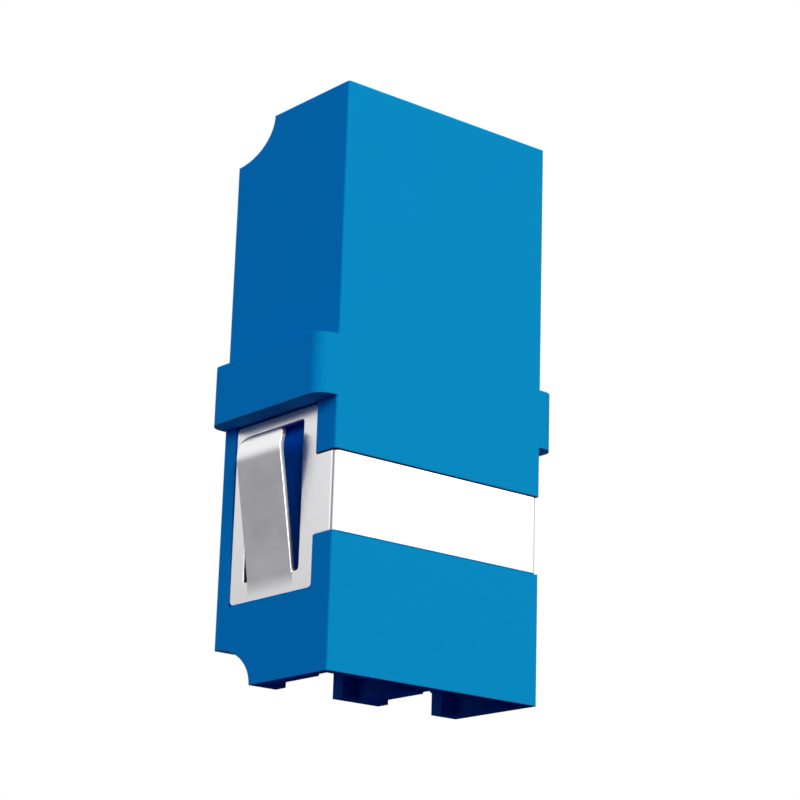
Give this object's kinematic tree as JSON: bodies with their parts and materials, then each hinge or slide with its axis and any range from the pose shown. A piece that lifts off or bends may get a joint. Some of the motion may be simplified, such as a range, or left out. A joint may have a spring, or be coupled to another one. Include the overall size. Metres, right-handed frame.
{
  "type": "duplex lc keystone coupler",
  "caption": "Blue duplex fibre coupler block with short panel ears, aligned plug channels and a folded sheet-steel panel clip with sprung tongues.",
  "frame": {"origin": "centre of the body's box, midway between the two optical axes and halfway along the body", "axes": "+Z along the optical axes towards the end without the clip, +X across the two channels, -Y towards the plain front face, +Y towards the latch side"},
  "size_m": [0.015, 0.009, 0.029],
  "materials": {
    "housing_plastic": "fine satin moulding",
    "cap_plastic": "fine satin moulding",
    "clip_steel": "bright rolled sheet",
    "sleeve_ceramic": "ground zirconia"
  },
  "bodies": {
    "coupler": {"housing": "housing_plastic", "mounting_clip": "clip_steel", "left_sleeve_cap": "cap_plastic", "right_sleeve_cap": "cap_plastic", "left_sleeve": "sleeve_ceramic", "right_sleeve": "sleeve_ceramic"},
    "left_tongue": {"left_tongue": "clip_steel"},
    "right_tongue": {"right_tongue": "clip_steel"}
  },
  "joints": [
    {"name": "left_tongue_press", "type": "hinge", "parent": "coupler", "child": "left_tongue", "pos_m": [-0.00628, 0.00028, -0.00931], "axis": [0, 1, 0], "range_deg": [0, 9], "stiffness_Nm_per_rad": 0.35},
    {"name": "right_tongue_press", "type": "hinge", "parent": "coupler", "child": "right_tongue", "pos_m": [0.00628, 0.00028, -0.00931], "axis": [0, -1, 0], "range_deg": [0, 9], "stiffness_Nm_per_rad": 0.35}
  ]
}
